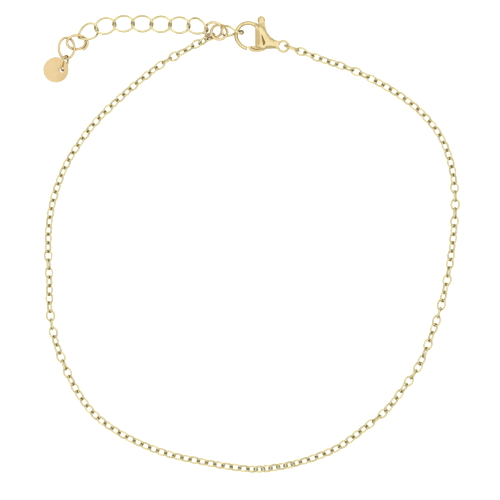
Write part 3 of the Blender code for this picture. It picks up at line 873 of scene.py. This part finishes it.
def roundPunch(name, radius, x):
    # a round cutter through the plate, at x along it
    work = bmesh.new()
    bmesh.ops.create_cone(
        work, cap_ends=True, segments=punch["sides"], radius1=radius * mm, radius2=radius * mm,
        depth=punch["length"] * mm,
    )
    bmesh.ops.translate(work, verts=work.verts, vec=(x * mm, 0, 0))
    return meshFrom(work, name)


def carve(mesh, cutters):
    # takes the cutters out of the mesh
    body = newPiece("carving", mesh)
    helpers = []
    for cutter in cutters:
        helper = newPiece("cutter", cutter)
        helpers.append(helper)
        step = body.modifiers.new("cut", "BOOLEAN")
        step.operation = "DIFFERENCE"
        step.solver = "EXACT"
        step.object = helper
    result = plainMesh(body)
    for helper in (body, *helpers):
        bpy.data.objects.remove(helper, do_unlink=True)
    return result


def fuse(name, meshes, voxel, softenings):
    # melts closed shapes into one casting with small soft fillets
    work = bmesh.new()
    for mesh in meshes:
        work.from_mesh(mesh)
    casting = newPiece(name, meshFrom(work, name))
    melt = casting.modifiers.new("melt", "REMESH")
    melt.mode = "VOXEL"
    melt.voxel_size = voxel * mm
    soften = casting.modifiers.new("soften", "SMOOTH")
    soften.factor = 0.5
    soften.iterations = softenings
    mesh = plainMesh(casting)
    mesh.shade_smooth()
    return casting, mesh


def castBody():
    slot = plate("slot", case["slot"], case["slotWidth"])
    fold = foldRod(cheekFold["line"], cheekFold["height"], cheekFold["depth"])
    shell = carve(loftCase(), [slot, fold])
    casting, mesh = fuse("clasp_casting", [shell, hookRod(), eyeRing()], case["voxel"], case["softenings"])
    # flat where it lies on the floor
    lowest = case["floorGap"] * mm - claspMiddle.z
    for vert in mesh.vertices:
        vert.co.z = max(vert.co.z, lowest)
    mesh.transform(Matrix.Translation(claspMiddle))
    mesh.materials.append(castGold)
    hang(casting, "bracelet", ["clasp_body"])
    print("  clasp body faces", len(mesh.polygons))


def roundThumb():
    work = bmesh.new()
    around, along = lever["thumbSteps"]
    bmesh.ops.create_uvsphere(work, u_segments=around, v_segments=along, radius=lever["thumbRadius"] * mm)
    bmesh.ops.scale(work, verts=work.verts, vec=lever["thumbStretch"])
    bmesh.ops.translate(work, verts=work.verts, vec=Vector((*lever["thumb"], 0.0)) * mm)
    return meshFrom(work, "thumb")


def castLever():
    blank = newPiece("lever_blank", plate("lever_blank", lever["outline"], lever["thickness"]))
    edges = blank.modifiers.new("round the edges", "BEVEL")
    edges.width = lever["edgeRound"] * mm
    edges.segments = lever["edgeSteps"]
    edges.limit_method = "ANGLE"
    edges.angle_limit = math.radians(lever["edgeFromDegrees"])
    blankMesh = plainMesh(blank)
    bpy.data.objects.remove(blank, do_unlink=True)
    bore = roundPunch("bore", pivot["pinRadius"] + pivot["gap"], 0.0)
    fold = foldRod(lever["armFold"], lever["thickness"] / 2, lever["armFoldDepth"])
    plateMesh = carve(blankMesh, [bore, fold])
    casting, mesh = fuse("clasp_gate", [plateMesh, roundThumb()], lever["voxel"], lever["softenings"])
    mesh.transform(Matrix.Translation(claspMiddle + Vector((pivot["x"], pivot["y"], 0.0)) * mm))
    mesh.materials.append(castGold)
    hang(casting, "lever", ["clasp_lever"])
    print("  clasp lever faces", len(mesh.polygons))


castBody()
castLever()
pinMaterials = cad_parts["clasp_pin"].data.materials
pinMaterials.clear()
pinMaterials.append(polishedGold)
print("stage 5: clasp cast")


# The plain disc charm

disc = {
    "diameter": 4.36,
    "thickness": 0.50,
    "edgeRound": 0.14,
    "crown": 0.03,
    "crownShares": (0.12, 0.3, 0.5, 0.7, 0.85, 0.95),
    "edgeDegrees": (90, 70, 50, 30, 10),
    "hole": 0.94,
    "holeAt": 1.02,
    "holeRound": 0.07,
    "holeRoundSteps": 3,
    "holeFromDegrees": 50.0,
    "steps": 112,
    "place": (-33.73, 30.18, 1.25, 0.4, -8.4, 2.0),
}


def turnDisc():
    half, rounding = disc["thickness"] / 2, disc["edgeRound"]
    flat = disc["diameter"] / 2 - rounding
    upper = [(flat * share, half - disc["crown"] * share**2) for share in disc["crownShares"]]
    shoulder = half - disc["crown"] - rounding
    for turn in map(math.radians, disc["edgeDegrees"]):
        upper.append((flat + rounding * math.cos(turn), shoulder + rounding * math.sin(turn)))
    profile = upper + [(x, -z) for x, z in reversed(upper)]
    work = bmesh.new()
    rings = []
    for x, z in profile:
        ring = []
        for step in range(disc["steps"]):
            turn = math.tau * step / disc["steps"]
            ring.append(work.verts.new(Vector((x * math.cos(turn), x * math.sin(turn), z)) * mm))
        rings.append(ring)
    for upperRing, lowerRing in zip(rings, rings[1:]):
        for step in range(disc["steps"]):
            after = (step + 1) % disc["steps"]
            work.faces.new((upperRing[step], lowerRing[step], lowerRing[after], upperRing[after]))
    for ring, z in ((rings[0], half), (rings[-1], -half)):
        middle = work.verts.new((0, 0, z * mm))
        for step in range(disc["steps"]):
            work.faces.new((middle, ring[step], ring[(step + 1) % disc["steps"]]))
    bmesh.ops.recalc_face_normals(work, faces=work.faces)
    hole = roundPunch("hole", disc["hole"] / 2, disc["holeAt"])
    charm = newPiece("disc_plate", carve(meshFrom(work, "disc_blank"), [hole]))
    rim = charm.modifiers.new("round the hole", "BEVEL")
    rim.width = disc["holeRound"] * mm
    rim.segments = disc["holeRoundSteps"]
    rim.limit_method = "ANGLE"
    rim.angle_limit = math.radians(disc["holeFromDegrees"])
    mesh = plainMesh(charm)
    faceOut(mesh)
    mesh.shade_smooth()
    mesh.transform(lay(*disc["place"]))
    mesh.materials.clear()
    mesh.materials.append(discGold)
    hang(charm, "bracelet", ["disc_charm"])


turnDisc()
print("stage 6: disc turned")


# Studio: white floor, soft tent of light, camera straight above

# half its side in metres, its own colour, and what the camera alone sees added to it
paperFloor = {"half": 1.5, "colour": (0.62, 0.63, 0.54), "glow": 0.78}


def whiteFloor():
    half = paperFloor["half"]
    corners = [(x * half, y * half, 0) for x, y in ((-1, -1), (1, -1), (1, 1), (-1, 1))]
    mesh = bpy.data.meshes.new("floor")
    mesh.from_pydata(corners, [], [(0, 1, 2, 3)])
    floor = bpy.data.objects.new("floor", mesh)
    studio.objects.link(floor)
    paper = bpy.data.materials.new("white paper")
    paper.use_nodes = True
    tree = paper.node_tree
    tree.nodes.clear()
    paperWhite = addNode(tree, "ShaderNodeBsdfDiffuse")
    paperWhite.inputs["Color"].default_value = (*paperFloor["colour"], 1.0)
    glow = addNode(tree, "ShaderNodeEmission")
    glow.inputs["Strength"].default_value = paperFloor["glow"]
    lit = addNode(tree, "ShaderNodeAddShader")
    tree.links.new(paperWhite.outputs[0], lit.inputs[0])
    tree.links.new(glow.outputs[0], lit.inputs[1])
    splitSight(tree, paperWhite.outputs[0], lit.outputs[0], "ShaderNodeOutputMaterial")
    mesh.materials.append(paper)


# the tent's brightness by the upward part of the direction
tentWall = [
    (0.00, (0.05, 0.05, 0.03)), (0.05, (0.08, 0.08, 0.055)), (0.13, (0.86, 0.86, 0.80)),
    (0.45, (1.05, 1.04, 1.02)), (1.00, (1.10, 1.09, 1.06)),
]
# the cards in front of it: direction, elevation and the angle to the edge in degrees, then the colour
tentCards = [
    (182, 26, 30, (0.74, 0.68, 0.56)),
    (-58, 20, 13, (0.12, 0.12, 0.08)),
    (112, 30, 14, (0.16, 0.17, 0.12)),
    (14, 16, 14, (0.34, 0.32, 0.24)),
    (54, 6, 27, (1.05, 1.03, 0.98)),
    (0, 90, 8, (0.72, 0.70, 0.66)),
    (180, 73, 14, (1.01, 0.98, 0.97)),
    (215, 77, 9, (0.84, 0.86, 0.76)),
]
# the part of a card that is full in colour, and the plain tone that the camera sees
cardCore = 0.55
backdropTone = (0.95, 0.95, 0.95)


def lightTent():
    # the wall and its cards light the metal and show in it, while the camera sees a plain backdrop
    world = bpy.data.worlds.new("light tent")
    bpy.context.scene.world = world
    world.use_nodes = True
    tree = world.node_tree
    tree.nodes.clear()
    direction = addNode(tree, "ShaderNodeTexCoord").outputs["Generated"]
    parts = addNode(tree, "ShaderNodeSeparateXYZ")
    tree.links.new(direction, parts.inputs[0])
    ramp = addNode(tree, "ShaderNodeValToRGB")
    tree.links.new(parts.outputs["Z"], ramp.inputs["Fac"])
    stops = ramp.color_ramp.elements
    for stop, (position, colour) in zip(stops, (tentWall[0], tentWall[-1])):
        stop.position = position
        stop.color = (*colour, 1.0)
    for position, colour in tentWall[1:-1]:
        stops.new(position).color = (*colour, 1.0)
    mirrored = ramp.outputs["Color"]
    for azimuth, elevation, edge, colour in tentCards:
        aim = Vector((math.cos(math.radians(elevation)), 0.0, math.sin(math.radians(elevation))))
        aim.rotate(Euler((0.0, 0.0, math.radians(azimuth))))
        nearness = addNode(tree, "ShaderNodeVectorMath", operation="DOT_PRODUCT")
        tree.links.new(direction, nearness.inputs[0])
        nearness.inputs[1].default_value = aim
        inner, outer = math.cos(math.radians(cardCore * edge)), math.cos(math.radians(edge))
        share = spread(tree, nearness.outputs["Value"], outer, inner, 0.0, 1.0)
        mirrored = mixedColour(tree, share, mirrored, (*colour, 1.0))
    sky = addNode(tree, "ShaderNodeBackground")
    tree.links.new(mirrored, sky.inputs["Color"])
    plain = addNode(tree, "ShaderNodeBackground")
    plain.inputs["Color"].default_value = (*backdropTone, 1.0)
    splitSight(tree, sky.outputs[0], plain.outputs[0], "ShaderNodeOutputWorld")


# the picture shows this many millimetres across at the chain's own height
view = {
    "shown": 86.5,
    "chainHeight": 0.9,
    "above": (-0.17, -0.97),
    "lens": 400.0,
    "sensor": 36.0,
    "nearest": 10.0,
    "farthest": 10000.0,
}


def overheadCamera():
    data = bpy.data.cameras.new("camera above")
    data.lens = view["lens"]
    data.sensor_width = view["sensor"]
    data.clip_start, data.clip_end = view["nearest"] * mm, view["farthest"] * mm
    camera = bpy.data.objects.new("camera above", data)
    studio.objects.link(camera)
    away = view["shown"] * view["lens"] / view["sensor"]
    camera.location = Vector((*view["above"], view["chainHeight"] + away)) * mm
    bpy.context.scene.camera = camera


whiteFloor()
lightTent()
overheadCamera()
bpy.context.scene.view_settings.view_transform = "Standard"
print("stage 7: studio set")
